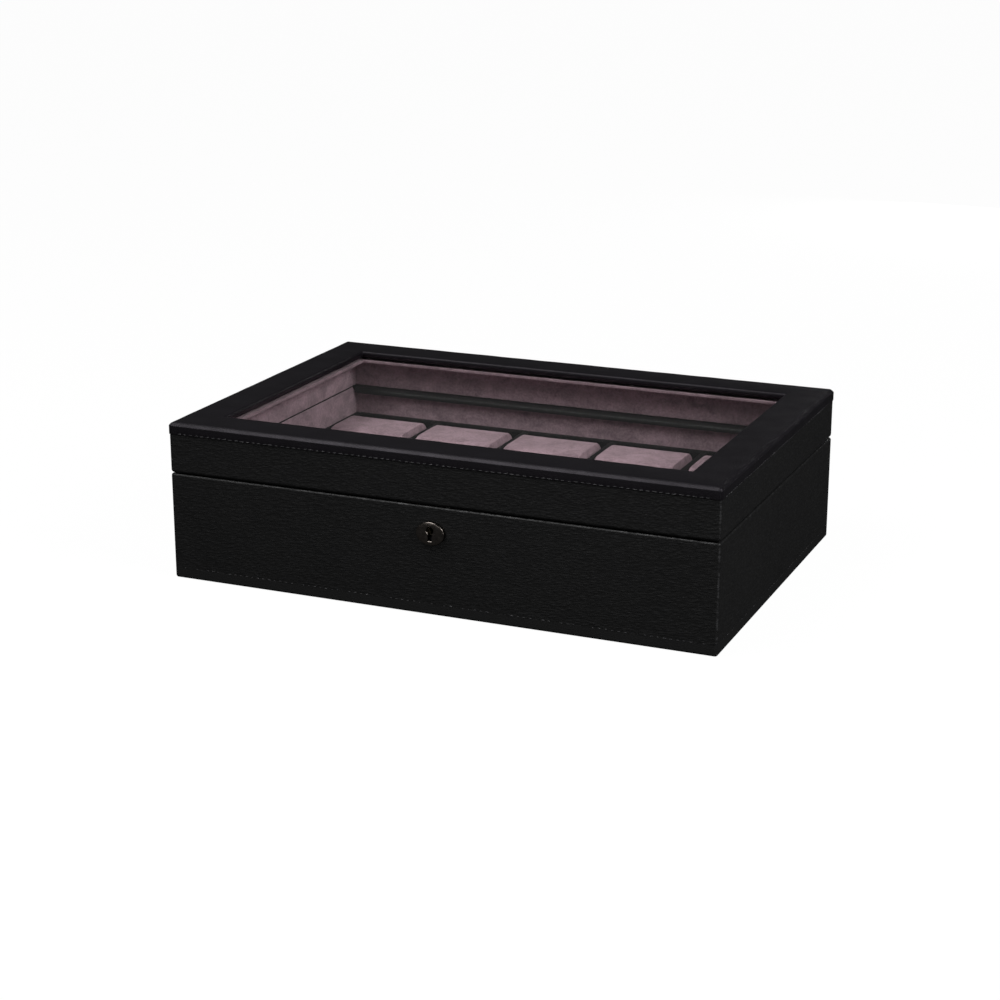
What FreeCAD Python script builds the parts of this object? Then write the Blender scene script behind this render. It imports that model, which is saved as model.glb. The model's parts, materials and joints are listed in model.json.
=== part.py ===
import FreeCAD
import Part
import math
import os
from FreeCAD import Vector

# Watch box with a glass lid. Millimetres, +Z up, +Y to the rear.
# The origin is under the middle of the box, on the surface that it stands on.

# Whole box, over the leather
box_width = 360.0
box_depth = 245.0
box_height = 102.5
base_height = 69.0
rim_gap = 0.6

# Sheets
leather = 1.2
wall_board = 9.8
floor_board = 9.8
lining = 3.0
floor_panel = 4.0
felt_proud = 0.2
felt_gap = 0.5
turn_under = 11.0

# Leather edges, and the band that is sewn round the foot of the base
corner_radius = 2.0
base_rim_radius = 1.2
lid_rim_radius = 2.0
foot_radius = 1.5
foot_band = 7.0
wrap_seam = 0.3
wrap_seam_inset = 14.0

# Lining lip that stands above the base's rim and locates the lid
lip_height = 4.5
lip_clearance = 0.5
lip_gap = 0.8
lip_rounding = 0.9
lip_corner_cut = 5.0
strip_height = 5.2

# Lid's top frame, with its padded leather
frame_width = 26.0
frame_crown = 0.6
frame_edge_radius = 2.5
frame_inner_radius = 1.6
frame_inner_drop = 0.2
frame_chamfer = 1.2
skirt = 7.4

# Glass
glass_thickness = 2.0
glass_depth = 4.5
glass_lap = 5.0
glass_play = 0.3
retainer = 2.0
retainer_reveal = 0.5
retainer_rounding = 0.7

# Compartments and cushions
columns = 5
rows = 3
border = 5.0
divider = 5.0
divider_drop = 14.6
divider_rounding = 1.4
divider_fit = 0.1
cushion_drop = 11.5
cushion_side_gap = 1.7
cushion_end_gap = 7.0
cushion_edge_radius = 13.0
cushion_crown = 1.0
cushion_seat_gap = 0.3
cushion_end_draw = 1.0
cushion_shoulder_draw = 0.45
cushion_panel_draw = 0.1
cushion_shoulder = 0.9
cushion_panel = 8.0

# Hinge
barrel_radius = 2.2
barrel_relief = 0.3
pin_radius = 1.0
pin_clearance = 0.05
leaf_thickness = 0.8
leaf_inset = 0.5
knuckle_length = 15.0
knuckle_gap = 0.3
hinge_margin = 22.5
lid_opening = 100.0
stop_length = 3.0
stop_arc = 70.0
stop_start = -75.0
stop_play = 1.0

# Screws
screw_radius = 0.9
screw_head_radius = 1.7
screw_head_height = 0.7
screw_length = 8.0
screw_clearance = 0.05
screw_pitch = 70.0

# Lock
lock_drop = 16.3
escutcheon_half_width = 9.25
escutcheon_half_height = 7.25
escutcheon_edge = 0.9
escutcheon_rise = 2.6
escutcheon_rounding = 1.5
keyhole_rise = 2.0
keyhole_radius = 2.4
keyhole_slot = 2.6
keyhole_foot = 6.6
neck_wall = 1.1
hub_radius = 3.5
hub_clearance = 0.05
hub_front_gap = 0.3
hub_flange_radius = 5.0
hub_flange = 1.2
key_socket_depth = 3.5
key_socket_radius = 1.6
key_socket_slot = 1.4
key_socket_foot = 2.8
drive_radius = 3.4
drive_pin_radius = 0.9
hub_turn = 90.0
board_web = 2.5
case_wall = 0.8
case_half_width = 18.0
case_drop = 10.5
plate_half_width = 26.0
plate_lap = 1.0
plate_screw_inset = 4.0
part_gap = 0.3
bolt_thickness = 1.6
bolt_tail = 14.0
bolt_shoulder = 1.0
bolt_play = 0.3
bolt_slot_play = 0.3
nose_height = 3.2
nose_clear = 1.2
staple_thickness = 2.0
staple_clear = 2.6
staple_bridge = 1.2
staple_play = 0.6
staple_slot_play = 0.7

# Levels that follow from the sizes above
half_width = box_width / 2
half_depth = box_depth / 2
felt = leather + felt_proud
board_top = base_height - leather
floor_top = felt + floor_board
panel_top = floor_top + floor_panel
lid_bottom = base_height + rim_gap
lid_board_bottom = lid_bottom + leather
lip_top = base_height + lip_height
edge_top = box_height - frame_crown
frame_top = edge_top - leather
glass_top = box_height - glass_depth
glass_bottom = glass_top - glass_thickness
retainer_bottom = glass_bottom - retainer
skirt_bottom = edge_top - skirt
divider_top = base_height - divider_drop
cushion_top = base_height - cushion_drop
cushion_seat = panel_top + cushion_seat_gap
above = box_height + leather

# Distances in from the outer face of the leather
lid_board = wall_board - lip_clearance
base_wall = leather + wall_board
lid_wall = leather + lid_board
lined_wall = base_wall + lining
border_inner = lined_wall + border

# Compartment grid
cell_width = (box_width - 2 * border_inner - (columns - 1) * divider) / columns
cell_depth = (box_depth - 2 * border_inner - (rows - 1) * divider) / rows
cushion_width = cell_width - 2 * cushion_side_gap
cushion_length = cell_depth - 2 * cushion_end_gap

# Hinge line
hinge_y = half_depth
hinge_z = base_height + rim_gap / 2
knuckle_pairs = math.floor(((box_width - 2 * hinge_margin) / knuckle_length - 1) / 2)
knuckles = 2 * knuckle_pairs + 1
hinge_length = knuckles * knuckle_length
leaf_width = lid_wall - leaf_inset

# Lock positions
lock_z = base_height - lock_drop
hub_z = lock_z + keyhole_rise
neck_radius = hub_radius + hub_clearance + neck_wall
case_front = -half_depth + leather + board_web
case_back = -half_depth + base_wall
cavity_front = case_front + case_wall
cavity_back = case_back - case_wall
case_bottom = hub_z - case_drop
cavity_bottom = case_bottom + case_wall
cavity_top = board_top - case_wall
flange_front = cavity_front + hub_clearance
flange_back = flange_front + hub_flange
bolt_front = flange_back + part_gap
bolt_back = bolt_front + bolt_thickness
nose_top = cavity_top - staple_bridge
nose_bottom = nose_top - nose_height
staple_x = hub_flange_radius + staple_clear + staple_thickness / 2
staple_bottom = nose_bottom - bolt_play - staple_bridge
bolt_throw = 2 * drive_radius * math.sin(math.radians(hub_turn / 2))


def box(x0, x1, y0, y1, z0, z1):
    """A block between two corners."""
    return Part.makeBox(x1 - x0, y1 - y0, z1 - z0, Vector(x0, y0, z0))


def centred_box(inset, z0, z1):
    """A block over the whole plan of the box, drawn in by inset."""
    return box(inset - half_width, half_width - inset, inset - half_depth, half_depth - inset, z0, z1)


def ring(outer_inset, inner_inset, z0, z1):
    """An upright rectangular ring over the plan of the box."""
    return centred_box(outer_inset, z0, z1).cut(centred_box(inner_inset, z0, z1))


def rod_x(radius, x0, x1, y, z):
    """A cylinder along X."""
    return Part.makeCylinder(radius, x1 - x0, Vector(x0, y, z), Vector(1, 0, 0))


def rod_y(radius, y0, y1, x, z):
    """A cylinder along Y."""
    return Part.makeCylinder(radius, y1 - y0, Vector(x, y0, z), Vector(0, 1, 0))


def prism(points, run):
    """A flat polygon pushed along a vector."""
    return Part.Face(Part.makePolygon(points + [points[0]])).extrude(run)


def upright_edges(shape):
    """The edges that stand along Z."""
    return [e for e in shape.Edges if e.BoundBox.ZLength > max(e.BoundBox.XLength, e.BoundBox.YLength) * 10]


def edges_at(shape, z):
    """The edges that lie flat at height z."""
    return [e for e in shape.Edges if abs(e.BoundBox.ZMin - z) < 1e-4 and abs(e.BoundBox.ZMax - z) < 1e-4]


def rounded_plan(z0, z1):
    """The outer plan of the box with its rounded corners."""
    block = centred_box(0, z0, z1)
    return block.makeFillet(corner_radius, upright_edges(block))


def mitre(run, reach):
    """The share of the plan that belongs to the front side, cut at 45 degrees at both corners."""
    outside = corner_radius
    depth = min(run, reach) / 2
    corners = [
        (-run / 2 - outside, -reach / 2 - outside),
        (run / 2 + outside, -reach / 2 - outside),
        (run / 2 - depth, -reach / 2 + depth),
        (depth - run / 2, -reach / 2 + depth),
    ]
    if corners[2][0] - corners[3][0] < 1e-6:
        corners.pop()
    return prism([Vector(x, y, -above) for x, y in corners], Vector(0, 0, 3 * above))


# The four sides as a turn from the front one, a length along the side and a depth across the box
sides = [
    (0, box_width, box_depth),
    (90, box_depth, box_width),
    (180, box_width, box_depth),
    (270, box_depth, box_width),
]


def turned(shape, angle):
    """A copy turned about the upright axis of the box."""
    copy = shape.copy()
    copy.rotate(Vector(0, 0, 0), Vector(0, 0, 1), angle)
    return copy


def mitred_ring(section):
    """A ring with one section, drawn with its outer face at y = 0, run round the plan of the box."""
    runs = []
    for angle, run, reach in sides:
        bar = section.copy()
        bar.translate(Vector(-run / 2, -reach / 2, 0))
        bar = bar.extrude(Vector(run, 0, 0)).common(mitre(run, reach))
        runs.append(turned(bar, angle))
    return runs[0].fuse(runs[1:]).removeSplitter()


def wall_boards(thickness, z0, z1):
    """Four walls, the front and rear ones running the full width."""
    long_x = half_width - leather
    outer_y = half_depth - leather
    inner_y = outer_y - thickness
    inner_x = long_x - thickness
    return {
        "front": box(-long_x, long_x, -outer_y, -inner_y, z0, z1),
        "rear": box(-long_x, long_x, inner_y, outer_y, z0, z1),
        "left": box(-long_x, -inner_x, -inner_y, inner_y, z0, z1),
        "right": box(inner_x, long_x, -inner_y, inner_y, z0, z1),
    }


def lining_panels(outer_inset, inner_inset, z0, z1):
    """Four lining panels inside the walls, the front and rear ones running the full width."""
    outer_x = half_width - outer_inset
    inner_x = half_width - inner_inset
    outer_y = half_depth - outer_inset
    inner_y = half_depth - inner_inset
    return {
        "front": box(-outer_x, outer_x, -outer_y, -inner_y, z0, z1),
        "rear": box(-outer_x, outer_x, inner_y, outer_y, z0, z1),
        "left": box(-outer_x, -inner_x, -inner_y, inner_y, z0, z1),
        "right": box(inner_x, outer_x, -inner_y, inner_y, z0, z1),
    }


def soften_top(shape, radius, thickness):
    """Rounds the long top edges of a standing panel, by less than half of its thickness."""
    top = shape.BoundBox.ZMax
    long_edges = [e for e in edges_at(shape, top) if e.Length > 2 * thickness]
    return shape.makeFillet(min(radius, 0.45 * thickness), long_edges)


def screw(x, y, z, up):
    """A countersunk screw with its head's face at z, driven up or down."""
    way = 1 if up else -1
    drive = Vector(0, 0, way)
    head = Part.makeCone(screw_head_radius, screw_radius, screw_head_height, Vector(x, y, z), drive)
    shank_start = Vector(x, y, z + way * screw_head_height)
    shank = Part.makeCylinder(screw_radius, screw_length - screw_head_height, shank_start, drive)
    return head.fuse(shank).removeSplitter()


def screw_hole(x, y, z, up):
    """The hole for a screw, wider all round by the clearance."""
    drive = Vector(0, 0, 1 if up else -1)
    mouth = screw_head_radius + screw_clearance
    bore = screw_radius + screw_clearance
    head = Part.makeCone(mouth, bore, screw_head_height, Vector(x, y, z), drive)
    shank = Part.makeCylinder(bore, screw_length + screw_clearance, Vector(x, y, z), drive)
    return head.fuse(shank)


# Places of the screws: a row along each hinge leaf and one at each end of the lock's two plates
hinge_screw_count = math.floor((hinge_length - knuckle_length) / screw_pitch) + 1
hinge_screw_xs = [(i - (hinge_screw_count - 1) / 2) * screw_pitch for i in range(hinge_screw_count)]
hinge_screw_y = half_depth - (leather + lid_wall) / 2
base_leaf_top = board_top + leaf_thickness
lid_leaf_bottom = lid_board_bottom - leaf_thickness
plate_front = case_front - plate_lap
plate_screw_xs = [plate_screw_inset - plate_half_width, plate_half_width - plate_screw_inset]
plate_screw_y = (case_front + case_back) / 2
base_screw_places = [(x, hinge_screw_y, base_leaf_top) for x in hinge_screw_xs]
base_screw_places += [(x, plate_screw_y, base_height) for x in plate_screw_xs]
lid_screw_places = [(x, hinge_screw_y, lid_leaf_bottom) for x in hinge_screw_xs]
lid_screw_places += [(x, plate_screw_y, lid_bottom) for x in plate_screw_xs]
base_screw_holes = [screw_hole(x, y, z, False) for x, y, z in base_screw_places]
lid_screw_holes = [screw_hole(x, y, z, True) for x, y, z in lid_screw_places]


def hinge_relief(z0, z1):
    """Room for the hinge in the rear wall: its barrel and its leaf's seat in the turned-over leather."""
    reach = hinge_length / 2 + knuckle_gap
    barrel = rod_x(barrel_radius + barrel_relief, -reach, reach, hinge_y, hinge_z)
    seat = box(-reach, reach, half_depth - base_wall, half_depth + barrel_radius, z0, z1)
    return barrel.fuse(seat)


base_hinge_relief = hinge_relief(board_top, hinge_z)
lid_hinge_relief = hinge_relief(hinge_z, lid_board_bottom)


def neck_hole(y0, y1):
    """The round hole in the front wall for the escutcheon's neck."""
    return rod_y(neck_radius + hub_clearance, y0, y1, 0, hub_z)


def lock_plate(z0, z1, back):
    """A flat plate with rounded ends, let into one of the rims at the lock."""
    plate = box(-plate_half_width, plate_half_width, plate_front, back, z0, z1)
    return plate.makeFillet((back - plate_front) / 4, upright_edges(plate))


def plate_seat(z0, z1, back):
    """The cut in the turned-over leather for such a plate."""
    return box(-plate_half_width, plate_half_width, plate_front, back, z0, z1)


def wrap_joint():
    """The thin gap at the rear where the two ends of a leather wrap meet."""
    left = wrap_seam_inset - half_width
    return box(left - wrap_seam / 2, left + wrap_seam / 2, 0, box_depth, -above, 2 * above)


def base_cover():
    """All the leather of the base, turned over the rim and under the floor, as one closed cover."""
    outer = rounded_plan(felt_proud, base_height)
    outer = outer.makeFillet(min(base_rim_radius, 3 * leather), edges_at(outer, base_height))
    outer = outer.makeFillet(min(foot_radius, 3 * leather), edges_at(outer, felt_proud))
    core = centred_box(leather, felt, board_top)
    mouth = centred_box(base_wall, felt, above)
    underside = centred_box(turn_under, -leather, felt)
    return outer.cut([core, mouth, underside])


def base_leather():
    """Grained leather wrapped once round the base, from the foot band to over the rim."""
    wrap = base_cover().common(centred_box(-corner_radius, foot_band, above))
    plate_cut = plate_seat(board_top, above, case_back)
    return wrap.cut([wrap_joint(), neck_hole(-half_depth, case_front), plate_cut, base_hinge_relief])


def foot_leather():
    """Smooth leather band round the foot, turned under the floor."""
    return base_cover().common(centred_box(-corner_radius, 0, foot_band))


def lid_leather():
    """Grained leather wrapped once round the lid's sides and turned under its rim."""
    outer = rounded_plan(lid_bottom, above)
    outer = outer.makeFillet(min(lid_rim_radius, 3 * leather), edges_at(outer, lid_bottom))
    core = centred_box(leather, lid_board_bottom, 2 * above)
    mouth = centred_box(lid_wall, 0, above)
    top = centred_box(-corner_radius, skirt_bottom, 2 * above)
    wrap = outer.cut([core, mouth, top])
    plate_cut = plate_seat(0, lid_board_bottom, -half_depth + lid_wall)
    return wrap.cut([wrap_joint(), plate_cut, lid_hinge_relief])


def frame_section():
    """Section of the padded leather over the top frame: skirt, crown and the turn into the window."""
    crest = frame_width - frame_inner_radius
    inner_top = box_height - frame_inner_drop
    bend = math.sqrt(0.5)
    outer_arc = Part.Arc(
        Vector(0, 0, edge_top - frame_edge_radius),
        Vector(0, frame_edge_radius * (1 - bend), edge_top - frame_edge_radius * (1 - bend)),
        Vector(0, frame_edge_radius, edge_top),
    )
    crown_arc = Part.Arc(
        Vector(0, frame_edge_radius, edge_top),
        Vector(0, (frame_edge_radius + 2 * crest) / 3, box_height),
        Vector(0, crest, inner_top),
    )
    inner_arc = Part.Arc(
        Vector(0, crest, inner_top),
        Vector(0, crest + frame_inner_radius * bend, inner_top - frame_inner_radius * (1 - bend)),
        Vector(0, frame_width, inner_top - frame_inner_radius),
    )
    inside = [
        Vector(0, frame_width, inner_top - frame_inner_radius),
        Vector(0, frame_width, glass_top),
        Vector(0, frame_width - leather, glass_top),
        Vector(0, frame_width - leather, frame_top),
        Vector(0, leather + frame_chamfer, frame_top),
        Vector(0, leather, frame_top - frame_chamfer),
        Vector(0, leather, skirt_bottom),
        Vector(0, 0, skirt_bottom),
        Vector(0, 0, edge_top - frame_edge_radius),
    ]
    lines = [Part.LineSegment(a, b) for a, b in zip(inside, inside[1:])]
    edges = [c.toShape() for c in [outer_arc, crown_arc, inner_arc] + lines]
    return Part.Face(Part.Wire(edges))


def lid_top_frame():
    """Fibreboard frame under the top leather, rebated below for the glass."""
    outer = centred_box(leather, glass_bottom, frame_top)
    outer = outer.makeChamfer(frame_chamfer, edges_at(outer, frame_top))
    window = centred_box(frame_width - leather, glass_bottom, frame_top)
    rebate = centred_box(frame_width - glass_lap - glass_play, glass_bottom, glass_top)
    return outer.cut([window, rebate])


def glass_retainer():
    """Suede frame that holds the glass from below."""
    frame = ring(lid_wall, frame_width + retainer_reveal, retainer_bottom, glass_bottom)
    inner_x = half_width - frame_width - retainer_reveal
    inner_y = half_depth - frame_width - retainer_reveal
    low = [
        e
        for e in edges_at(frame, retainer_bottom)
        if e.BoundBox.XMax < inner_x + 1e-4
        and e.BoundBox.XMin > -inner_x - 1e-4
        and e.BoundBox.YMax < inner_y + 1e-4
        and e.BoundBox.YMin > -inner_y - 1e-4
    ]
    return frame.makeFillet(min(retainer_rounding, 0.45 * retainer), low)


def base_lining():
    """Base lining panels, with the lip on three sides and its rear corners cut back."""
    panels = lining_panels(base_wall, lined_wall, floor_top, lip_top)
    strip_bottom = lip_top - strip_height
    panels["rear"] = lining_panels(base_wall, lined_wall, floor_top, strip_bottom)["rear"]
    panels["front"] = soften_top(panels["front"], lip_rounding, lining)
    rear_end = half_depth - lined_wall
    for side in ("left", "right"):
        panel = soften_top(panels[side], lip_rounding, lining)
        corner = [
            Vector(-half_width, rear_end - lip_corner_cut, lip_top),
            Vector(-half_width, rear_end, lip_top - lip_corner_cut),
            Vector(-half_width, rear_end + lip_corner_cut, lip_top + lip_corner_cut),
        ]
        panels[side] = panel.cut(prism(corner, Vector(box_width, 0, 0)))
    return panels


def hinge_cover_strip():
    """Black strip on the rear lining that hides the hinge."""
    strip = lining_panels(base_wall, lined_wall, lip_top - strip_height, lip_top)["rear"]
    return soften_top(strip, lip_rounding, lining)


def tray_border():
    """Black border that stands on the floor panel against the lining."""
    frame = ring(lined_wall, border_inner, panel_top, divider_top)
    return frame.makeFillet(min(divider_rounding, 0.45 * border), edges_at(frame, divider_top))


def divider_slot(x, y, z0, z1):
    """The half-lap cut where two dividers cross."""
    half = divider / 2 + divider_fit
    return box(x - half, x + half, y - half, y + half, z0, z1)


divider_xs = [(i - columns / 2) * (cell_width + divider) for i in range(1, columns)]
divider_ys = [(i - rows / 2) * (cell_depth + divider) for i in range(1, rows)]
divider_middle = (panel_top + divider_top) / 2


def long_divider(y):
    """Divider between two rows, cut from above for the cross dividers."""
    reach = half_width - border_inner
    board = box(-reach, reach, y - divider / 2, y + divider / 2, panel_top, divider_top)
    board = soften_top(board, divider_rounding, divider)
    slots = [divider_slot(x, y, divider_middle - divider_fit, above) for x in divider_xs]
    return board.cut(slots)


def cross_divider(x):
    """Divider between two columns, cut from below to straddle the long ones."""
    reach = half_depth - border_inner
    board = box(x - divider / 2, x + divider / 2, -reach, reach, panel_top, divider_top)
    board = soften_top(board, divider_rounding, divider)
    return board.cut([divider_slot(x, y, 0, divider_middle) for y in divider_ys])


def cushion_section(x, draw):
    """One upright section of a cushion, drawn in all round by draw, with a crowned top."""
    reach = cushion_length / 2 - draw
    low = cushion_seat + draw
    high = cushion_top - cushion_crown - draw
    radius = min(cushion_edge_radius, 0.4 * (high - low))
    flat = reach - radius
    bend = radius * math.sqrt(0.5)
    side = reach + cushion_crown
    middle = (low + high) / 2

    def at(y, z):
        return Vector(x, y, z)

    edges = [
        Part.LineSegment(at(-flat, low), at(flat, low)),
        Part.Arc(at(flat, low), at(flat + bend, low + radius - bend), at(reach, low + radius)),
        Part.Arc(at(reach, low + radius), at(side, middle), at(reach, high - radius)),
        Part.Arc(at(reach, high - radius), at(flat + bend, high - radius + bend), at(flat, high)),
        Part.Arc(at(flat, high), at(0, high + cushion_crown), at(-flat, high)),
        Part.Arc(at(-flat, high), at(-flat - bend, high - radius + bend), at(-reach, high - radius)),
        Part.Arc(at(-reach, high - radius), at(-side, middle), at(-reach, low + radius)),
        Part.Arc(at(-reach, low + radius), at(-flat - bend, low + radius - bend), at(-flat, low)),
    ]
    return Part.Wire([e.toShape() for e in edges])


def cushion(column, row):
    """A stuffed cushion with a crowned top and sides drawn in towards its two end panels."""
    half = cushion_width / 2
    sections = [
        cushion_section(-half, cushion_end_draw),
        cushion_section(cushion_shoulder - half, cushion_shoulder_draw),
        cushion_section(cushion_panel - half, cushion_panel_draw),
        cushion_section(0, 0),
        cushion_section(half - cushion_panel, cushion_panel_draw),
        cushion_section(half - cushion_shoulder, cushion_shoulder_draw),
        cushion_section(half, cushion_end_draw),
    ]
    body = Part.makeLoft(sections, True, False)
    x = (column - (columns - 1) / 2) * (cell_width + divider)
    y = (row - (rows - 1) / 2) * (cell_depth + divider)
    body.translate(Vector(x, y, 0))
    return body


def sector(radius, x0, x1, start, sweep):
    """A wedge of a cylinder on the hinge line, measured from the rear towards the top."""
    wedge = Part.makeCylinder(radius, x1 - x0, Vector(0, 0, 0), Vector(0, 0, 1), sweep)
    wedge.rotate(Vector(0, 0, 0), Vector(0, 0, 1), start)
    along_hinge = FreeCAD.Rotation(Vector(0, 1, 0), Vector(0, 0, 1), Vector(1, 0, 0), "ZXY")
    place = FreeCAD.Placement(Vector(x0, hinge_y, hinge_z), along_hinge)
    return wedge.transformGeometry(place.toMatrix())


def knuckle_span(index):
    """Start and end of one knuckle along X."""
    start = index * knuckle_length - hinge_length / 2
    return start + knuckle_gap / 2, start + knuckle_length - knuckle_gap / 2


def hinge_leaf(z0, z1, own):
    """One leaf of the continuous hinge, with every second knuckle."""
    plate = box(-hinge_length / 2, hinge_length / 2, hinge_y - leaf_width, hinge_y, z0, z1)
    plate = plate.cut(rod_x(barrel_radius + barrel_relief, -half_width, half_width, hinge_y, hinge_z))
    pieces = []
    for index in range(own, knuckles, 2):
        x0, x1 = knuckle_span(index)
        pieces.append(rod_x(barrel_radius, x0, x1, hinge_y, hinge_z))
        pieces.append(box(x0, x1, hinge_y - leaf_width / 2, hinge_y, z0, z1))
    leaf = plate.fuse(pieces)
    return leaf.cut(rod_x(pin_radius + pin_clearance, -half_width, half_width, hinge_y, hinge_z))


def stop_spans():
    """Where the end knuckles of the base leaf reach into their neighbours, at both ends of the hinge."""
    left = knuckle_span(0)[1]
    right = knuckle_span(knuckles - 1)[0]
    reach = knuckle_gap + stop_length
    return [(left, left + reach), (right - reach, right)]


def hinge_base_leaf():
    """Leaf on the base's rim, with a lug at each end that stops the lid."""
    leaf = hinge_leaf(board_top, base_leaf_top, 0)
    bore = rod_x(pin_radius + pin_clearance, -half_width, half_width, hinge_y, hinge_z)
    lugs = [sector(barrel_radius, x0, x1, stop_start, stop_arc).cut(bore) for x0, x1 in stop_spans()]
    return leaf.fuse(lugs).cut(base_screw_holes).removeSplitter()


def hinge_lid_leaf():
    """Leaf under the lid's rim, notched for the stop lugs over the lid's whole swing."""
    leaf = hinge_leaf(lid_leaf_bottom, lid_board_bottom, 1)
    notches = [
        sector(
            barrel_radius + barrel_relief,
            x0 - knuckle_gap,
            x1 + knuckle_gap,
            stop_start - stop_play,
            stop_arc + lid_opening + 2 * stop_play,
        )
        for x0, x1 in stop_spans()
    ]
    return leaf.cut(notches + lid_screw_holes).removeSplitter()


def keyhole(y0, y1, radius, slot, foot):
    """A round hole on the hub's axis with a slot down from it, run along Y."""
    shape = rod_y(radius, y0, y1, 0, hub_z)
    return shape.fuse(box(-slot / 2, slot / 2, y0, y1, hub_z - foot, hub_z))


def lock_escutcheon():
    """Oval face plate with a rounded edge, a keyhole and a neck that carries the hub."""
    face = -half_depth - escutcheon_rise
    oval = Part.Ellipse(Vector(0, 0, 0), escutcheon_half_width, escutcheon_half_height)
    plate = Part.Face(Part.Wire(oval.toShape())).extrude(Vector(0, 0, escutcheon_rise))
    plate.rotate(Vector(0, 0, 0), Vector(1, 0, 0), 90)
    plate.translate(Vector(0, -half_depth, lock_z))
    front = [e for e in plate.Edges if e.BoundBox.YMax < face + 1e-4]
    plate = plate.makeFillet(min(escutcheon_rounding, escutcheon_rise - escutcheon_edge), front)
    neck = rod_y(neck_radius, -half_depth, case_front, 0, hub_z)
    bore = rod_y(hub_radius + hub_clearance, -half_depth, case_front, 0, hub_z)
    hole = keyhole(face - leather, -half_depth, keyhole_radius, keyhole_slot, keyhole_foot)
    return plate.fuse(neck).cut([bore, hole]).removeSplitter()


def lock_hub():
    """Hub that the key turns, with a key socket in front and an off-centre drive pin behind."""
    front = hub_front_gap - half_depth
    body = rod_y(hub_radius, front, flange_front, 0, hub_z)
    flange = rod_y(hub_flange_radius, flange_front, flange_back, 0, hub_z)
    lean = math.radians(hub_turn / 2)
    pin_x = -drive_radius * math.sin(lean)
    pin_z = hub_z - drive_radius * math.cos(lean)
    pin = rod_y(drive_pin_radius, flange_back, bolt_back + part_gap, pin_x, pin_z)
    socket = keyhole(front, front + key_socket_depth, key_socket_radius, key_socket_slot, key_socket_foot)
    return body.fuse([flange, pin]).cut(socket).removeSplitter()


def lock_case():
    """Hollow case let into the front wall, with the plate on the rim that takes the staple."""
    case = box(-case_half_width, case_half_width, case_front, case_back, case_bottom, board_top)
    plate = lock_plate(board_top, base_height, case_back)
    inner = case_half_width - case_wall
    cavity = box(-inner, inner, cavity_front, cavity_back, cavity_bottom, cavity_top)
    hub_way = rod_y(hub_radius + hub_clearance, case_front, cavity_back, 0, hub_z)
    half_slot = staple_thickness / 2 + staple_slot_play
    slot = box(staple_x - half_slot, staple_x + half_slot, cavity_front, cavity_back, cavity_bottom, above)
    return case.fuse(plate).cut([cavity, hub_way, slot] + base_screw_holes).removeSplitter()


def lock_bolt():
    """Sliding bolt plate with a slot for the drive pin and a nose that enters the staple."""
    lean = math.radians(hub_turn / 2)
    pin_x = -drive_radius * math.sin(lean)
    half_slot = drive_pin_radius + bolt_slot_play
    slot_low = hub_z - drive_radius - half_slot
    slot_high = hub_z - drive_radius * math.cos(lean) + half_slot
    low = cavity_bottom + bolt_play
    high = cavity_top - bolt_play
    tip = staple_x - staple_thickness / 2 - nose_clear
    body = box(-bolt_tail, bolt_shoulder, bolt_front, bolt_back, low, high)
    nose = box(bolt_shoulder, tip, bolt_front, bolt_back, nose_bottom, nose_top)
    slot = box(pin_x - half_slot, pin_x + half_slot, bolt_front, bolt_back, slot_low, slot_high)
    return body.fuse(nose).cut(slot).removeSplitter()


def strike_plate():
    """Plate under the lid's rim, with the staple that the bolt holds."""
    plate = lock_plate(lid_bottom, lid_board_bottom, -half_depth + lid_wall)
    half = staple_thickness / 2
    staple_front = cavity_front + staple_play
    staple_back = cavity_back - staple_play
    staple = box(staple_x - half, staple_x + half, staple_front, staple_back, staple_bottom, lid_bottom)
    window = box(
        staple_x - half,
        staple_x + half,
        bolt_front - bolt_play,
        bolt_back + bolt_play,
        nose_bottom - bolt_play,
        nose_top + bolt_play,
    )
    return plate.fuse(staple).cut([window] + lid_screw_holes).removeSplitter()


parts = {}

# Base: boards
boards = wall_boards(wall_board, felt, board_top)
case_pocket = box(-case_half_width, case_half_width, case_front, case_back, case_bottom, board_top)
boards["front"] = boards["front"].cut([case_pocket, neck_hole(-half_depth, case_front)] + base_screw_holes)
boards["rear"] = boards["rear"].cut([base_hinge_relief] + base_screw_holes)
for side, board in boards.items():
    parts["base_" + side + "_board"] = board
parts["base_floor_board"] = centred_box(base_wall, felt, floor_top)
parts["underside_felt"] = centred_box(turn_under + felt_gap, 0, felt)

# Base: leather and lining
parts["base_leather"] = base_leather()
parts["foot_leather"] = foot_leather()
for side, panel in base_lining().items():
    parts["base_lining_" + side] = panel
parts["hinge_cover_strip"] = hinge_cover_strip()
parts["floor_lining"] = centred_box(lined_wall, floor_top, panel_top)

# Base: compartments
parts["tray_border"] = tray_border()
for number, y in enumerate(divider_ys, 1):
    parts["long_divider_" + str(number)] = long_divider(y)
for number, x in enumerate(divider_xs, 1):
    parts["cross_divider_" + str(number)] = cross_divider(x)
for row in range(rows):
    for column in range(columns):
        parts["cushion_" + str(row + 1) + "_" + str(column + 1)] = cushion(column, row)

# Base: lock and hinge
parts["lock_case"] = lock_case()
parts["lock_escutcheon"] = lock_escutcheon()
parts["lock_hub"] = lock_hub()
parts["lock_bolt"] = lock_bolt()
parts["hinge_base_leaf"] = hinge_base_leaf()
parts["hinge_pin"] = rod_x(pin_radius, -hinge_length / 2, hinge_length / 2, hinge_y, hinge_z)
parts["base_screws"] = Part.makeCompound([screw(x, y, z, False) for x, y, z in base_screw_places])

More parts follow.
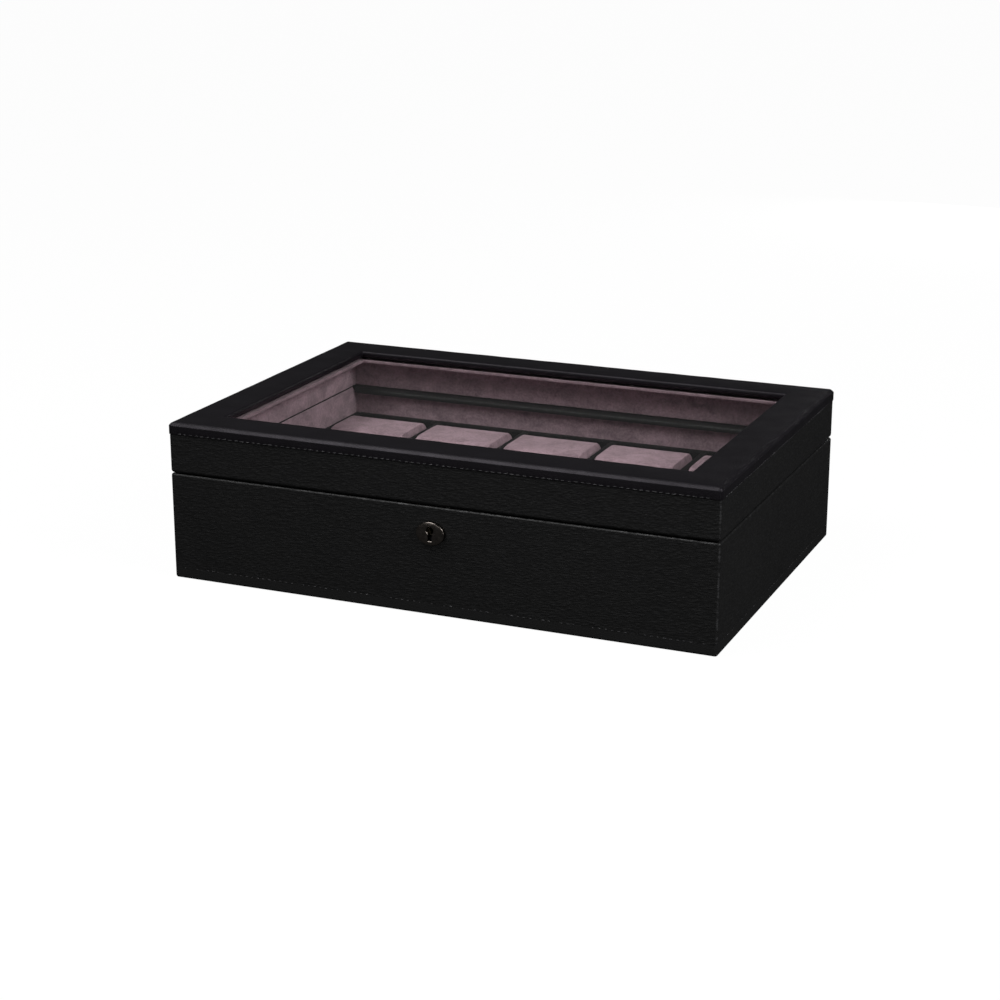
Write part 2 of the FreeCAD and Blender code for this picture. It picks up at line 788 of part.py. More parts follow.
# Lid: boards, leather and lining
boards = wall_boards(lid_board, lid_board_bottom, glass_bottom)
boards["front"] = boards["front"].cut(lid_screw_holes)
boards["rear"] = boards["rear"].cut([lid_hinge_relief] + lid_screw_holes)
for side, board in boards.items():
    parts["lid_" + side + "_board"] = board
parts["lid_top_frame"] = lid_top_frame()
parts["lid_leather"] = lid_leather()
parts["lid_top_leather"] = mitred_ring(frame_section()).common(rounded_plan(0, 2 * above))
for side, panel in lining_panels(lid_wall, lined_wall, lip_top + lip_gap, retainer_bottom).items():
    parts["lid_lining_" + side] = panel

# Lid: glass, lock and hinge
parts["glass_pane"] = centred_box(frame_width - glass_lap, glass_bottom, glass_top)
parts["glass_retainer"] = glass_retainer()
parts["strike_plate"] = strike_plate()
parts["hinge_lid_leaf"] = hinge_lid_leaf()
parts["lid_screws"] = Part.makeCompound([screw(x, y, z, True) for x, y, z in lid_screw_places])

os.makedirs("parts", exist_ok=True)
for node, shape in parts.items():
    shape.exportStep("parts/" + node + ".step")
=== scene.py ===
import json
import math
import random

import bmesh
import bpy
from mathutils import Matrix, Vector, noise

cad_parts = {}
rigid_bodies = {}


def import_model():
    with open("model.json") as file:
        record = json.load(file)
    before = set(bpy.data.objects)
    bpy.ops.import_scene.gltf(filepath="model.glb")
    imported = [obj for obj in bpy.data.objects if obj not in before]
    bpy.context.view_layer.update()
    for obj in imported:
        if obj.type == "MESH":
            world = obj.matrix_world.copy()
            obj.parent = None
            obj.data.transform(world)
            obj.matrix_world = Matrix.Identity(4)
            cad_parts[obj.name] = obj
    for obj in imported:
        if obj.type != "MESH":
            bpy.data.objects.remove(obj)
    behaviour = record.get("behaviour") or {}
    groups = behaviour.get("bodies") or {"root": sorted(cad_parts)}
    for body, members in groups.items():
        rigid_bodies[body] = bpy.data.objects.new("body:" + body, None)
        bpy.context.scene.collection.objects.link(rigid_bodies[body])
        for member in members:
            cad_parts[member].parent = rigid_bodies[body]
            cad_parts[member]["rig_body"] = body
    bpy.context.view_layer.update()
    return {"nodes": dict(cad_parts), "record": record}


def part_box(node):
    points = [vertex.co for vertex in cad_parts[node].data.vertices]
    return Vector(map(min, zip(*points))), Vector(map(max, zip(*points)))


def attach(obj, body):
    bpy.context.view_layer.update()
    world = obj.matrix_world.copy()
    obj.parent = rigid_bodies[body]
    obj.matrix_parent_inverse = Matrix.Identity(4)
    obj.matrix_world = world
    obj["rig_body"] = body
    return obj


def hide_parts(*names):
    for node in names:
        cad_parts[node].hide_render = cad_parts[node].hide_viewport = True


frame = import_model()
nodes = frame["nodes"]
mm = 0.001

# Stitching
stitch_pitch = 4.0 * mm
stitch_length = 3.0 * mm
thread_radius = 0.28 * mm
stitch_inset = 0.8 * mm
stitch_corner = 5.0 * mm
stitch_pull = 0.16 * mm
stitch_pull_reach = 0.9 * mm
stitch_wander = 0.3 * mm
stitch_rise = 0.12 * mm
foot_stitch_above = 0.4 * mm
foot_stitch_sunk = 0.16 * mm

# Padded leather over the lid's top frame
hem_stand = 0.45 * mm
hem_radius = 0.45 * mm
frame_edge_rise = 2.35 * mm
frame_edge_slope = 42.0
frame_edge_foot = 0.3 * mm
frame_edge_round = 4.2 * mm
frame_crown = 0.15 * mm
frame_inner_radius = 1.6 * mm
frame_inner_drop = 0.2 * mm
frame_width = 26.0 * mm
leather = 1.2 * mm
corner_radius = 2.0 * mm
least_bend = 0.3 * mm
outer_skin = 0.5 * mm
pad_unevenness = 0.12 * mm
pad_patch = 14.0 * mm
pad_step = 0.8 * mm

# Cushions
cushion_edge_radius = 13.0 * mm
cushion_end_radius = 1.2 * mm
cushion_crown = 0.9 * mm
cushion_seam_inset = 0.5 * mm
cushion_seam_depth = 0.4 * mm
cushion_seam_width = 0.1 * mm
cushion_start = 0.98
fill_pressure = 4
fill_frames = 20
cushion_swell = 1.0 * mm
cushion_clear = 0.2 * mm
dent_patch = 17.0 * mm
dent_share = 0.006
crease_patch = 5.0 * mm
crease_share = 0.002

# Lock plate
plate_rounding = 0.6 * mm
plate_dome = 0.15 * mm
plate_points = 180
keyhole_radius = 2.3 * mm
keyhole_slot = 2.6 * mm
keyhole_foot = 6.6 * mm
keyhole_bevel = 0.5 * mm

# Lining, and the rounded strip over the hinge
lining_rounding = 0.5 * mm
lining_weld = 0.001 * mm
flat_angle = math.radians(1)
sharp_angle = math.radians(40)
level_normal = 0.8
bead_stand = 5.0 * mm
bead_end = 3.0 * mm
bead_bluntness = 0.7
bead_sway = 0.05
bead_sway_patch = 23.0 * mm
bead_steps = 340

# Room
floor_reach = 20.0
floor_drop = 0.2 * mm
floor_tone = 0.03
floor_glow = 0.975
floor_mirrored = 0.015
room_light = 0.06
lamp_target = (0.0, 0.0, 0.06)

# Camera
lens = 77.59
sensor = 36.0
camera_place = (0.51756, -1.23484, 0.45314)
camera_target = (-0.00749, 0.0, 0.0374)


def new_material(name):
    """A material with its tree and its main shader."""
    made = bpy.data.materials.new(name)
    made.use_nodes = True
    return made, made.node_tree, made.node_tree.nodes["Principled BSDF"]


def texture(tree, kind, size, turn=0.0, **settings):
    """A texture in object coordinates, with its features' size on each axis and their tilt."""
    coords = tree.nodes.new("ShaderNodeTexCoord")
    mapping = tree.nodes.new("ShaderNodeMapping")
    mapping.vector_type = "TEXTURE"
    mapping.inputs["Scale"].default_value = size
    mapping.inputs["Rotation"].default_value = (0, math.radians(turn), 0)
    tree.links.new(coords.outputs["Object"], mapping.inputs["Vector"])
    made = tree.nodes.new("ShaderNodeTex" + kind)
    made.inputs["Scale"].default_value = 1.0
    for key, value in settings.items():
        if key == "feature":
            made.feature = value
        else:
            made.inputs[key].default_value = value
    tree.links.new(mapping.outputs["Vector"], made.inputs["Vector"])
    return made


def cube(size):
    """The same feature size along all three axes."""
    return (size, size, size)


def noise_texture(tree, size, turn=0.0, **settings):
    """Height from a noise texture."""
    return texture(tree, "Noise", size, turn, **settings).outputs["Fac"]


def cells(tree, size, turn=0.0, **settings):
    """Distance from the middle of each cell of a cell texture."""
    return texture(tree, "Voronoi", size, turn, **settings).outputs["Distance"]


def spread(tree, source, low, high, to_low, to_high):
    """A value carried from one range to another, and held within it."""
    made = tree.nodes.new("ShaderNodeMapRange")
    made.inputs["From Min"].default_value = low
    made.inputs["From Max"].default_value = high
    made.inputs["To Min"].default_value = to_low
    made.inputs["To Max"].default_value = to_high
    tree.links.new(source, made.inputs["Value"])
    return made.outputs["Result"]


def combine(tree, operation, first, second):
    """Two values joined by a sum, a product or the like. The second may be a number."""
    made = tree.nodes.new("ShaderNodeMath")
    made.operation = operation
    tree.links.new(first, made.inputs[0])
    if isinstance(second, (int, float)):
        made.inputs[1].default_value = second
    else:
        tree.links.new(second, made.inputs[1])
    return made.outputs["Value"]


def weighted(tree, first, share, second):
    """Two values added, the first by its share and the second by the rest."""
    part = combine(tree, "MULTIPLY", first, share)
    rest = combine(tree, "MULTIPLY", second, 1 - share)
    return combine(tree, "ADD", part, rest)


def colours(tree, source, stops):
    """A colour that follows a value through a few stops."""
    made = tree.nodes.new("ShaderNodeValToRGB")
    elements = made.color_ramp.elements
    while len(elements) < len(stops):
        elements.new(0.5)
    for element, (position, colour) in zip(elements, stops):
        element.position = position
        element.color = (*colour, 1.0)
    tree.links.new(source, made.inputs["Fac"])
    return made.outputs["Color"]


def bumps(tree, shader, layers):
    """Relief from several heights, each with its depth and strength, the coarsest first."""
    normal = None
    for height, depth, strength in layers:
        made = tree.nodes.new("ShaderNodeBump")
        made.inputs["Distance"].default_value = depth
        made.inputs["Strength"].default_value = strength
        tree.links.new(height, made.inputs["Height"])
        if normal:
            tree.links.new(normal, made.inputs["Normal"])
        normal = made.outputs["Normal"]
    tree.links.new(normal, shader.inputs["Normal"])


def tint(colour, factor):
    """A colour made lighter or darker."""
    return tuple(c * factor for c in colour)


def edge_wear_and_painted_highlight(tree, patch):
    """Wear and painted highlight on the rounded edges, in patches: up to 1 on level edges and more on
    upright corners, where the extra is painted highlight.
    """
    coords = tree.nodes.new("ShaderNodeTexCoord")
    sizes = tree.nodes.new("ShaderNodeVectorMath")
    sizes.operation = "ABSOLUTE"
    tree.links.new(coords.outputs["Normal"], sizes.inputs[0])
    parts = tree.nodes.new("ShaderNodeSeparateXYZ")
    tree.links.new(sizes.outputs["Vector"], parts.inputs["Vector"])
    sideways = combine(tree, "MAXIMUM", parts.outputs["X"], parts.outputs["Y"])
    largest = combine(tree, "MAXIMUM", sideways, parts.outputs["Z"])
    turned = spread(tree, largest, 0.96, 0.82, 0.0, 1.0)
    patches = noise_texture(tree, cube(patch), Detail=2.0)
    worn = combine(tree, "MULTIPLY", turned, spread(tree, patches, 0.38, 0.6, 0.35, 1.0))
    # Painted highlight: upright corners get up to 2.2 times the edge mask, so the grained leather's
    # colour shows a light line down them.
    upright = spread(tree, parts.outputs["Z"], 0.1, 0.5, 2.2, 1.0)
    return combine(tree, "MULTIPLY", worn, upright)


def grained_leather():
    """Black leather with a fine grain of level pebbles and creases, worn along its edges, and with a
    painted highlight in the lighter colour of its edges and upright corners.
    """
    made, tree, shader = new_material("grained_leather")
    lean = -7.0
    pebble = (3.6 * mm, 3.6 * mm, 1.3 * mm)
    crease = (5.6 * mm, 5.6 * mm, 1.2 * mm)
    pebbles = cells(tree, pebble, lean, feature="SMOOTH_F1", Smoothness=0.25)
    domes = spread(tree, pebbles, 0.1, 0.75, 1.0, 0.0)
    creases = noise_texture(tree, crease, lean, Detail=2.0, Distortion=1.4)
    folds = spread(tree, creases, 0.38, 0.6, 0.0, 1.0)
    pores = noise_texture(tree, cube(0.35 * mm), Detail=2.0)
    patches = noise_texture(tree, cube(28.0 * mm), Detail=3.0)
    grain = weighted(tree, domes, 0.6, folds)
    black = (0.0057, 0.0057, 0.0059)
    worn = edge_wear_and_painted_highlight(tree, 5.0 * mm)
    # The edge mask lightens the colour up to six times: partly wear, partly painted highlight, and on
    # the upright corners mostly painted highlight.
    tone = weighted(tree, grain, 0.7, worn)
    stops = [
        (0.07, tint(black, 0.6)),
        (0.35, black),
        (0.63, tint(black, 1.7)),
        (0.95, tint(black, 6.0)),
    ]
    tree.links.new(colours(tree, tone, stops), shader.inputs["Base Color"])
    rubbed = spread(tree, patches, 0.3, 0.7, -0.05, 0.05)
    dull = combine(tree, "ADD", rubbed, spread(tree, grain, 0.1, 0.9, 0.6, 0.48))
    polish = combine(tree, "MULTIPLY", worn, 0.16)
    tree.links.new(combine(tree, "SUBTRACT", dull, polish), shader.inputs["Roughness"])
    shader.inputs["Specular IOR Level"].default_value = 0.26
    pressed = combine(tree, "MULTIPLY", grain, spread(tree, worn, 0.0, 1.0, 1.0, 0.4))
    bumps(tree, shader, [(pressed, 0.3 * mm, 0.6), (pores, 0.04 * mm, 0.4)])
    return made


def smooth_leather(name, black, roughness, shine, cast):
    """Smooth black leather with small pores, polished along its edges. Cast tints its shine."""
    made, tree, shader = new_material(name)
    pebbles = cells(tree, cube(0.8 * mm), feature="SMOOTH_F1", Smoothness=0.5)
    pores = noise_texture(tree, cube(0.25 * mm), Detail=2.0)
    patches = noise_texture(tree, cube(18.0 * mm), Detail=3.0)
    stops = [(0.25, tint(black, 0.75)), (0.75, tint(black, 1.3))]
    tree.links.new(colours(tree, patches, stops), shader.inputs["Base Color"])
    worn = edge_wear_and_painted_highlight(tree, 3.0 * mm)
    dull = spread(tree, patches, 0.3, 0.7, roughness + 0.04, roughness - 0.04)
    polish = combine(tree, "MULTIPLY", worn, 0.04)
    tree.links.new(combine(tree, "SUBTRACT", dull, polish), shader.inputs["Roughness"])
    shader.inputs["Specular IOR Level"].default_value = shine
    shader.inputs["Specular Tint"].default_value = (*cast, 1.0)
    bumps(tree, shader, [(pebbles, 0.09 * mm, 0.8), (pores, 0.03 * mm, 0.5)])
    return made


def thread():
    """Dark waxed thread, twisted."""
    made, tree, shader = new_material("thread")
    fibres = noise_texture(tree, (0.5 * mm, 0.5 * mm, 0.12 * mm), Detail=2.0)
    rubbed = noise_texture(tree, cube(9.0 * mm), Detail=2.0)
    tone = combine(tree, "MULTIPLY", fibres, spread(tree, rubbed, 0.35, 0.62, 0.4, 1.3))
    stops = [(0.15, (0.006, 0.006, 0.007)), (0.75, (0.05, 0.048, 0.052))]
    tree.links.new(colours(tree, tone, stops), shader.inputs["Base Color"])
    tree.links.new(spread(tree, fibres, 0.3, 0.7, 0.6, 0.4), shader.inputs["Roughness"])
    bumps(tree, shader, [(fibres, 0.05 * mm, 0.6)])
    return made


def suede(name, colour, sheen, mottle):
    """Napped cloth with brushed patches that differ by mottle, flecks and a soft bloom."""
    made, tree, shader = new_material(name)
    brushed = noise_texture(tree, (14.0 * mm, 14.0 * mm, 10.0 * mm), Detail=2.0, Distortion=0.8)
    flecks = noise_texture(tree, cube(1.6 * mm), Detail=3.0)
    nap = noise_texture(tree, cube(0.4 * mm), Detail=3.0)
    tone = weighted(tree, brushed, 0.55, flecks)
    darker = tint(colour, 1 - mottle)
    lighter = tint(colour, 1 + mottle)
    stops = [(0.36, darker), (0.5, colour), (0.64, lighter)]
    tree.links.new(colours(tree, tone, stops), shader.inputs["Base Color"])
    tree.links.new(spread(tree, nap, 0.3, 0.7, 0.95, 0.8), shader.inputs["Roughness"])
    shader.inputs["Specular IOR Level"].default_value = 0.1
    shader.inputs["Sheen Weight"].default_value = sheen
    shader.inputs["Sheen Roughness"].default_value = 0.45
    shader.inputs["Sheen Tint"].default_value = (1.0, 0.9, 0.93, 1.0)
    layers = [(brushed, 0.5 * mm, 0.15), (flecks, 0.2 * mm, 0.3), (nap, 0.1 * mm, 0.5)]
    bumps(tree, shader, layers)
    return made


def fibreboard():
    """Black fibreboard, raw."""
    made, tree, shader = new_material("fibreboard")
    fibres = noise_texture(tree, (1.2 * mm, 1.2 * mm, 0.5 * mm), Detail=4.0)
    stops = [(0.3, (0.012, 0.011, 0.01)), (0.7, (0.028, 0.025, 0.023))]
    tree.links.new(colours(tree, fibres, stops), shader.inputs["Base Color"])
    tree.links.new(spread(tree, fibres, 0.3, 0.7, 0.9, 0.75), shader.inputs["Roughness"])
    bumps(tree, shader, [(fibres, 0.1 * mm, 0.5)])
    return made


def metal(name, colour, roughness, size):
    """A metal with fine marks of the given size."""
    made, tree, shader = new_material(name)
    marks = noise_texture(tree, size, Detail=4.0)
    stops = [(0.3, tint(colour, 0.82)), (0.7, tint(colour, 1.12))]
    tree.links.new(colours(tree, marks, stops), shader.inputs["Base Color"])
    worn = spread(tree, marks, 0.3, 0.7, roughness * 0.8, roughness * 1.25)
    tree.links.new(worn, shader.inputs["Roughness"])
    shader.inputs["Metallic"].default_value = 1.0
    bumps(tree, shader, [(marks, 0.02 * mm, 0.3)])
    return made


def mirror_share(tree):
    """How much a pane mirrors: little head on and more at a low angle, from both sides alike."""
    weight = tree.nodes.new("ShaderNodeLayerWeight")
    weight.inputs["Blend"].default_value = 0.5
    steep = combine(tree, "POWER", weight.outputs["Facing"], 5.0)
    return spread(tree, steep, 0, 1, 0.02, 0.5)


def window_glass():
    """Clear glass that shows what lies under it and reflects a little more at a low angle."""
    made, tree, shader = new_material("window_glass")
    tree.nodes.remove(shader)
    clear = tree.nodes.new("ShaderNodeBsdfTransparent")
    clear.inputs["Color"].default_value = (0.975, 0.985, 0.98, 1.0)
    gloss = tree.nodes.new("ShaderNodeBsdfGlossy")
    smears = noise_texture(tree, cube(40.0 * mm), Detail=3.0)
    tree.links.new(spread(tree, smears, 0.4, 0.7, 0.0, 0.04), gloss.inputs["Roughness"])
    mix = tree.nodes.new("ShaderNodeMixShader")
    tree.links.new(mirror_share(tree), mix.inputs["Fac"])
    tree.links.new(clear.outputs["BSDF"], mix.inputs[1])
    tree.links.new(gloss.outputs["BSDF"], mix.inputs[2])
    tree.links.new(mix.outputs["Shader"], tree.nodes["Material Output"].inputs["Surface"])
    return made


plum_black = (0.0042, 0.0037, 0.0049)
plum_shine = (0.97, 0.9, 1.0)
foot_black = (0.0044, 0.0044, 0.0046)
plain_shine = (1.0, 1.0, 1.0)
mauve = (0.30, 0.205, 0.235)
pale_mauve = (0.358, 0.239, 0.276)
materials = {
    "fibreboard": fibreboard(),
    "grained_leather": grained_leather(),
    "smooth_leather": smooth_leather("smooth_leather", plum_black, 0.46, 0.22, plum_shine),
    "felt": suede("felt", (0.012, 0.012, 0.013), 0.1, 0.25),
    "suede_lining": suede("suede_lining", mauve, 0.25, 0.3),
    "black_suede": suede("black_suede", (0.0062, 0.0056, 0.006), 0.03, 0.3),
    "cushion_suede": suede("cushion_suede", pale_mauve, 0.2, 0.26),
    "glass": window_glass(),
    "gunmetal": metal("gunmetal", (0.165, 0.146, 0.132), 0.17, cube(1.5 * mm)),
    "steel": metal("steel", (0.5, 0.49, 0.47), 0.32, (8.0 * mm, 0.3 * mm, 0.3 * mm)),
    "brass": metal("brass", (0.66, 0.46, 0.2), 0.3, (6.0 * mm, 0.4 * mm, 0.4 * mm)),
}
thread_material = thread()
foot_material = smooth_leather("foot_leather", foot_black, 0.55, 0.35, plain_shine)
# Painted shade: dark steel for the lock's hub, so the keyhole reads as a dark hole.
hub_steel_painted_shade = metal("hub_steel_painted_shade", (0.1, 0.085, 0.06), 0.4, cube(1.0 * mm))


def dress_nodes():
    """Gives every node the material of its slot, but the foot band and the lock's hub their own."""
    for part in frame["record"]["subparts"]:
        data = nodes[part["node"]].data
        data.materials.clear()
        data.materials.append(materials[part["material_slot"]])
    nodes["foot_leather"].data.materials[0] = foot_material
    # The hub's dark steel is painted shade inside the keyhole.
    nodes["lock_hub"].data.materials[0] = hub_steel_painted_shade


def new_piece(name, bm, material, smooth=True):
    """A mesh object from a bmesh, in the row frame."""
    bmesh.ops.recalc_face_normals(bm, faces=bm.faces)
    data = bpy.data.meshes.new(name)
    bm.to_mesh(data)
    bm.free()
    data.materials.append(material)
    data.polygons.foreach_set("use_smooth", [smooth] * len(data.polygons))
    made = bpy.data.objects.new(name, data)
    bpy.context.scene.collection.objects.link(made)
    return made


def arc(centre, radius, start, end, steps):
    """Points on an arc in a section, with angles in degrees."""
    points = []
    for i in range(steps + 1):
        angle = math.radians(start + (end - start) * i / steps)
        points.append((centre[0] + radius * math.cos(angle), centre[1] + radius * math.sin(angle)))
    return points


def loop_of(half_x, half_y, radius, runs, bends):
    """Points round a rounded rectangle, as many along x and along y as runs says."""
    points = []
    corners = [(1, -1, -90), (1, 1, 0), (-1, 1, 90), (-1, -1, 180)]
    for number, (sign_x, sign_y, start) in enumerate(corners):
        centre = Vector((sign_x * (half_x - radius), sign_y * (half_y - radius)))
        bend = []
        for i in range(bends + 1):
            angle = math.radians(start + 90 * i / bends)
            bend.append(centre + radius * Vector((math.cos(angle), math.sin(angle))))
        after = corners[(number + 1) % 4]
        turn = math.radians(after[2])
        next_centre = Vector((after[0] * (half_x - radius), after[1] * (half_y - radius)))
        next_start = next_centre + radius * Vector((math.cos(turn), math.sin(turn)))
        count = runs[1 - number % 2]
        run = [bend[-1].lerp(next_start, i / count) for i in range(1, count)]
        points += bend + run
    return points


def join_rings(bm, rings):
    """Faces between each closed ring of points and the next."""
    for first, second in zip(rings, rings[1:]):
        for i in range(len(first)):
            j = (i + 1) % len(first)
            bm.faces.new((first[i], first[j], second[j], second[i]))


def swept_ring(section, half_x, half_y, radius, step):
    """A ring of one closed section, given as insets and heights, run round a rounded rectangle."""
    bm = bmesh.new()
    runs = (round(2 * half_x / step), round(2 * half_y / step))
    rings = []
    for inset, height in section:
        bend = max(radius - inset, least_bend)
        loop = loop_of(half_x - inset, half_y - inset, bend, runs, 6)
        rings.append([bm.verts.new((p.x, p.y, height)) for p in loop])
    join_rings(bm, rings + rings[:1])
    return bm


def stitch_places(length):
    """Middles of the stitches along a side of that length."""
    count = math.floor((length - 2 * stitch_corner) / stitch_pitch)
    return [(i - (count - 1) / 2) * stitch_pitch for i in range(count)]


box_low, box_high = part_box("base_leather")
half_x = (box_high.x - box_low.x) / 2
half_y = (box_high.y - box_low.y) / 2
skirt_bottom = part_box("lid_top_leather")[0].z
crown_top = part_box("lid_top_leather")[1].z
glass_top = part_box("glass_pane")[1].z
foot_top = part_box("foot_leather")[1].z
skirt_stitch_z = skirt_bottom + stitch_inset
foot_stitch_z = foot_top + foot_stitch_above


def pull_at(along, length):
    """How far the thread draws the leather in at a point along a side: most at each hole."""
    places = stitch_places(length)
    if abs(along) > places[-1] + stitch_pitch:
        return 0.0
    phase = (along - places[0]) / stitch_pitch
    return 0.5 - 0.5 * math.cos(2 * math.pi * phase)


def slanted_edge(inset, low, high):
    """Section of a softly slanted edge, from an upright face at low to a level one at high."""
    turn = math.radians(frame_edge_slope)
    leaving = 180 - frame_edge_slope
    points = arc((inset + frame_edge_foot, low), frame_edge_foot, 180, leaving, 4)
    start = Vector(points[-1])
    bends = frame_edge_foot * math.sin(turn) + frame_edge_round * (1 - math.sin(turn))
    run = (high - low - bends) / math.cos(turn)
    end = start + run * Vector((math.sin(turn), math.cos(turn)))
    for share in (0.25, 0.5, 0.75):
        points.append(tuple(start.lerp(end, share)))
    centre = end + frame_edge_round * Vector((math.cos(turn), -math.sin(turn)))
    return points + arc(centre, frame_edge_round, leaving, 90, 8)


def frame_section():
    """Section of the padded leather, from its hem over the top and down the window's edge."""
    edge_top = crown_top - frame_crown
    crest = frame_width - frame_inner_radius
    inner_top = crown_top - frame_inner_drop
    section = arc((hem_radius - hem_stand, skirt_bottom + hem_radius), hem_radius, 270, 180, 4)
    hem_top = section[-1][1]
    rise = edge_top - frame_edge_rise
    section += [(-hem_stand, hem_top + (rise - hem_top) * i / 7) for i in range(1, 7)]
    section += slanted_edge(-hem_stand, rise, edge_top)
    start = section[-1][0]
    for i in range(1, 14):
        share = i / 14
        swell = math.sin(math.pi * share) * frame_crown
        height = edge_top + (inner_top - edge_top) * share + swell
        section.append((start + (crest - start) * share, height))
    section += arc((crest, inner_top - frame_inner_radius), frame_inner_radius, 90, 0, 7)
    section += [(frame_width, glass_top), (frame_width - leather, glass_top)]
    under = edge_top - leather
    return section + [(frame_width - leather, under), (leather, under), (leather, skirt_bottom)]


def top_leather():
    """Padded leather over the lid's top frame, uneven, and drawn in by the stitches of its hem."""
    bm = swept_ring(frame_section(), half_x, half_y, corner_radius, pad_step)
    bm.normal_update()
    bmesh.ops.recalc_face_normals(bm, faces=bm.faces)
    for vert in bm.verts:
        x, y, z = vert.co
        shift = pad_unevenness * noise.noise(vert.co / pad_patch)
        near = math.exp(-(((z - skirt_stitch_z) / stitch_pull_reach) ** 2))
        if half_x - abs(x) < outer_skin:
            shift -= stitch_pull * near * pull_at(y, 2 * half_y)
        elif half_y - abs(y) < outer_skin:
            shift -= stitch_pull * near * pull_at(x, 2 * half_x)
        vert.co += vert.normal * shift
    made = new_piece("top_leather", bm, materials["smooth_leather"])
    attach(made, "lid")
    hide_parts("lid_top_leather")


def add_stitch(bm, centre, along, outward, length):
    """One stitch of twisted thread whose ends go into the leather."""
    across = along.cross(outward)
    rings = []
    steps = 9
    sides = 8
    for k in range(steps + 1):
        share = k / steps
        lift = math.sin(math.pi * share) ** 0.5
        forward = along * ((share - 0.5) * length)
        stand = outward * (thread_radius * (1.5 * lift - 0.9))
        ring = []
        for s in range(sides):
            angle = 2 * math.pi * s / sides
            ply = 0.86 + 0.14 * math.cos(2 * (angle - 5.0 * share))
            radius = thread_radius * ply * (0.6 + 0.4 * lift)
            offset = across * math.cos(angle) + outward * math.sin(angle)
            ring.append(bm.verts.new(centre + forward + stand + offset * radius))
        rings.append(ring)
    join_rings(bm, rings)
    bm.faces.new(rings[0])
    bm.faces.new(rings[-1])


def stitch_row(name, body, z, stand):
    """A row of stitches right round the box at height z, on a face that stands out by stand."""
    bm = bmesh.new()
    chance = random.Random(name)
    sides = [
        (Vector((1, 0, 0)), Vector((0, -1, 0)), half_x, half_y),
        (Vector((0, 1, 0)), Vector((1, 0, 0)), half_y, half_x),
        (Vector((-1, 0, 0)), Vector((0, 1, 0)), half_x, half_y),
        (Vector((0, -1, 0)), Vector((-1, 0, 0)), half_y, half_x),
    ]
    for along, outward, half_run, reach in sides:
        for place in stitch_places(2 * half_run):
            shift = chance.uniform(-stitch_wander, stitch_wander)
            sunk = chance.uniform(0.0, 0.9) * thread_radius
            rise = z + chance.uniform(-stitch_rise, stitch_rise)
            on_face = along * (place + shift) + outward * (reach + stand - sunk)
            centre = on_face + Vector((0, 0, rise))
            tilt = Matrix.Rotation(math.radians(chance.uniform(-5, 9)), 3, outward)
            length = stitch_length * chance.uniform(0.8, 1.06)
            add_stitch(bm, centre, tilt @ along, outward, length)
    made = new_piece(name, bm, thread_material)
    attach(made, body)


def plate_outline(angle, rise, half_width, half_height):
    """Distance from the keyhole's middle to the oval's edge, at an angle from straight down."""
    dx = math.sin(angle) / half_width
    dz = -math.cos(angle) / half_height
    start = rise / half_height
    a = dx * dx + dz * dz
    b = 2 * start * dz
    c = start * start - 1
    return (math.sqrt(b * b - 4 * a * c) - b) / (2 * a)


def keyhole_outline(angle):
    """Distance from the keyhole's middle to its edge, at an angle from straight down."""
    down = math.cos(angle)
    side = abs(math.sin(angle))
    if down <= 0:
        return keyhole_radius
    foot = keyhole_foot / down
    slot = keyhole_slot / 2 / max(side, 1e-6)
    return max(keyhole_radius, min(foot, slot))


def plate_profile(stand):
    """Section of the lock plate: where each point is measured from, how far, and its height."""
    profile = [("edge", 0.0, 0.0)]
    rim = (plate_rounding, stand - plate_rounding)
    for inset, height in arc(rim, plate_rounding, 180, 90, 8):
        profile.append(("edge", inset, height))
    for share in (0.15, 0.35, 0.6, 0.85):
        profile.append(("face", share, stand + plate_dome * math.sin(math.pi / 2 * share)))
    lip = (keyhole_bevel, stand + plate_dome - keyhole_bevel)
    for inset, height in arc(lip, keyhole_bevel, 90, 180, 5):
        profile.append(("hole", inset, height))
    profile.append(("hole", 0.0, 0.0))
    return profile


def plate_reach(kind, value, far, near):
    """Distance from the keyhole's middle to a point of the section, between two outlines."""
    if kind == "edge":
        return far - value
    if kind == "hole":
        return near + value
    rim = far - plate_rounding
    return rim + (near + keyhole_bevel - rim) * value


def lock_plate():
    """Polished oval lock plate with a rounded edge and a bevelled keyhole."""
    low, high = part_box("lock_escutcheon")
    hub_low, hub_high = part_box("lock_hub")
    hub_z = (hub_low.z + hub_high.z) / 2
    centre_z = (low.z + high.z) / 2
    half_width = (high.x - low.x) / 2
    half_height = (high.z - low.z) / 2
    stand = -half_y - low.y
    corner = math.atan2(keyhole_slot / 2, keyhole_foot)
    joint = math.asin(keyhole_slot / 2 / keyhole_radius)
    angles = [2 * math.pi * i / plate_points - math.pi for i in range(plate_points)]
    angles = sorted(angles + [corner, -corner, joint, -joint])
    outer = [plate_outline(a, hub_z - centre_z, half_width, half_height) for a in angles]
    hole = [keyhole_outline(a) for a in angles]
    bm = bmesh.new()
    rings = []
    for kind, value, height in plate_profile(stand):
        ring = []
        for angle, far, near in zip(angles, outer, hole):
            distance = plate_reach(kind, value, far, near)
            x = distance * math.sin(angle)
            z = hub_z - distance * math.cos(angle)
            ring.append(bm.verts.new((x, -half_y - height, z)))
        rings.append(ring)
    join_rings(bm, rings + rings[:1])
    made = new_piece("lock_plate", bm, materials["gunmetal"])
    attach(made, "base")
    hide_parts("lock_escutcheon")


def cushion_ring(bm, x, size, draw, share=0.0):
    """One upright section of a cushion: drawn in all round, crowned on top, and shrunk by share."""
    half_length = size.y / 2 - draw
    half_height = size.z / 2 - draw
    loop = loop_of(half_length, half_height, cushion_edge_radius - draw, (12, 9), 7)
    ring = []
    for y, z in loop:
        crown = cushion_crown * (1 - (y / half_length) ** 2) * max(0, z / half_height)
        ring.append(bm.verts.new((x, y * (1 - share), (z + crown) * (1 - share))))
    return ring


